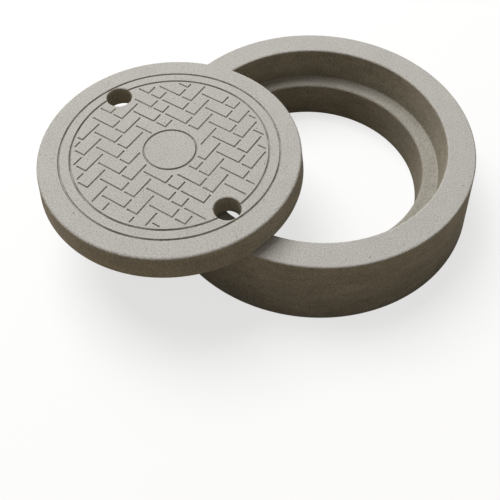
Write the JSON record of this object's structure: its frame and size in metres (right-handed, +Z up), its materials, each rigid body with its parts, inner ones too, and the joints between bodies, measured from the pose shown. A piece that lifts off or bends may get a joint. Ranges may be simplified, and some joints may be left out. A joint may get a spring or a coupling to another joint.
{
  "type": "concrete chamber cover",
  "caption": "Round cast-concrete chamber cover: a stepped frame ring round a clear opening, with its loose lid, herringbone grooved and with lifting holes, slid half off on top.",
  "frame": {"origin": "centre of the clear opening, at the frame ring's underside on the ground", "axes": "+Z up out of the chamber; the lid lies on the ring, slid out towards -X"},
  "size_m": [0.7748, 0.5938, 0.1822],
  "materials": {
    "concrete": "matt cast concrete with a fine sandy grain"
  },
  "bodies": {
    "root": {"frame_ring": "concrete", "lid": "concrete"}
  },
  "joints": []
}
